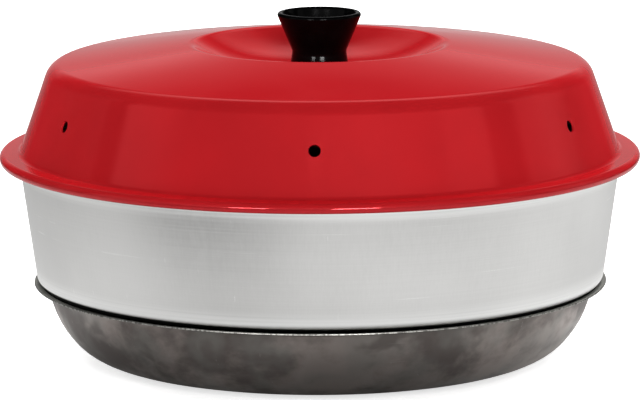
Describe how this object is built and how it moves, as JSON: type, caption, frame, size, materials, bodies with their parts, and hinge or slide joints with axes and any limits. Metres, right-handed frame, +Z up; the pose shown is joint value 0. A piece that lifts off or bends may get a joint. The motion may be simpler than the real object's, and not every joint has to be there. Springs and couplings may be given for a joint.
{
  "type": "stovetop camp oven",
  "caption": "Round stovetop camp oven: a shallow pan with a raised flame hole, a ring pot with a central chimney, and a vented domed lid with a flared knob.",
  "frame": {"origin": "on the oven's axis, at the underside of the base pan, which is the surface that it stands on", "axes": "+Z up along the oven's axis; -Y towards the viewer of the picture; +X to the viewer's right"},
  "size_m": [0.2506, 0.2506, 0.1363],
  "materials": {
    "base_pan": "satin",
    "food_container": "satin",
    "lid_shell": "gloss",
    "knob": "gloss",
    "knob_insert": "satin",
    "knob_screw": "satin",
    "screw_washer": "satin"
  },
  "bodies": {
    "base": {"base_pan": "base_pan"},
    "container": {"food_container": "food_container"},
    "lid": {"lid_shell": "lid_shell", "knob": "knob", "knob_insert": "knob_insert", "knob_screw": "knob_screw", "screw_washer": "screw_washer"}
  },
  "joints": [
    {"name": "container_lift", "type": "slide", "parent": "base", "child": "container", "axis": [0, 0, 1], "range_m": [0, 0.1]},
    {"name": "lid_lift", "type": "slide", "parent": "container", "child": "lid", "axis": [0, 0, 1], "range_m": [0, 0.12]}
  ]
}
